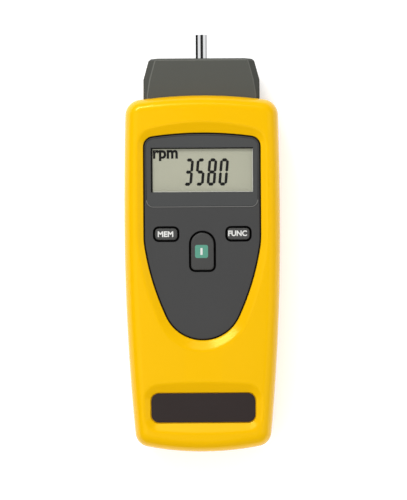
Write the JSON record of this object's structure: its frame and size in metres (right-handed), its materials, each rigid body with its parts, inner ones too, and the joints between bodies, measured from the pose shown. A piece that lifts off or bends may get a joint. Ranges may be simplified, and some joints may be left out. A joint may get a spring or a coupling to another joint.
{
  "type": "laser tachometer",
  "caption": "Hand-held laser tachometer in a yellow case, with a display, keys and a plug-in contact adapter whose steel spindle turns in ball bearings.",
  "frame": {"origin": "under the middle of the whole length, on the surface that the instrument lies on", "axes": "+Y along the case towards the spindle's tip, +Z out of the front face, +X to the right of the display"},
  "size_m": [0.06, 0.1606, 0.028],
  "materials": {
    "case": "moulded yellow ABS, fine satin grain",
    "panel": "moulded charcoal ABS, fine matt grain",
    "window": "clear acrylic, polished",
    "foam": "closed-cell foam",
    "display": "reflective liquid-crystal cell, grey-green",
    "silicone": "layered conducting silicone",
    "board": "glass-fibre board, green mask",
    "chips": "black epoxy packages",
    "plated_steel": "nickel-plated steel",
    "keys": "moulded grey keycaps, satin",
    "plate": "dark brown-grey printed plate, bare",
    "black_plastic": "black moulding, matt",
    "brass": "turned brass",
    "lens": "polished acrylic lens",
    "filter": "red acrylic filter",
    "cell": "bare dark sleeve over a steel can",
    "adapter": "moulded grey ABS, fine matt grain",
    "bearing_steel": "ground bearing steel",
    "bright_steel": "turned and polished stainless steel",
    "reflector": "reflecting film"
  },
  "bodies": {
    "case": {"front_case": "case", "rear_case": "case", "front_panel": "panel", "display_window": "window", "display_gasket": "foam", "display_glass": "display", "display_frame": "panel", "contact_strips": "silicone", "main_board": "board", "board_components": "chips", "key_switches": "plated_steel", "board_screws": "plated_steel", "nameplate": "plate", "optics_block": "black_plastic", "laser_barrel": "brass", "laser_diode": "plated_steel", "laser_lens": "lens", "light_sensor": "plated_steel", "sensor_lens": "lens", "optics_window": "filter", "left_cell": "cell", "right_cell": "cell", "cell_springs": "plated_steel", "cell_contacts": "plated_steel", "case_screws": "plated_steel"},
    "memory_key": {"memory_key": "keys"},
    "function_key": {"function_key": "keys"},
    "start_key": {"start_key": "keys"},
    "battery_cover": {"battery_cover": "case"},
    "adapter": {"adapter_housing": "adapter", "adapter_end_plate": "black_plastic", "adapter_screws": "plated_steel", "bearing_outer_rings": "bearing_steel", "bearing_balls": "bearing_steel", "bearing_spacer": "brass"},
    "spindle": {"spindle": "bright_steel", "bearing_inner_rings": "bearing_steel", "spindle_clip": "plated_steel", "rotor_disc": "black_plastic", "rotor_flags": "reflector", "rotor_screw": "plated_steel"}
  },
  "joints": [
    {"name": "memory_press", "type": "slide", "parent": "case", "child": "memory_key", "axis": [0, 0, -1], "range_m": [0, 0.0006], "stiffness_N_per_m": 600, "springref_m": -0.0006},
    {"name": "function_press", "type": "slide", "parent": "case", "child": "function_key", "axis": [0, 0, -1], "range_m": [0, 0.0006], "stiffness_N_per_m": 600, "springref_m": -0.0006},
    {"name": "start_press", "type": "slide", "parent": "case", "child": "start_key", "axis": [0, 0, -1], "range_m": [0, 0.0006], "stiffness_N_per_m": 600, "springref_m": -0.0006},
    {"name": "cover_slide", "type": "slide", "parent": "case", "child": "battery_cover", "axis": [0, -1, 0], "range_m": [0, 0.066]},
    {"name": "adapter_pull", "type": "slide", "parent": "case", "child": "adapter", "axis": [0, 1, 0], "range_m": [0, 0.02]},
    {"name": "spindle_spin", "type": "hinge", "parent": "adapter", "child": "spindle", "pos_m": [0, 0.0755, 0.013], "axis": [0, 1, 0], "continuous": true}
  ]
}
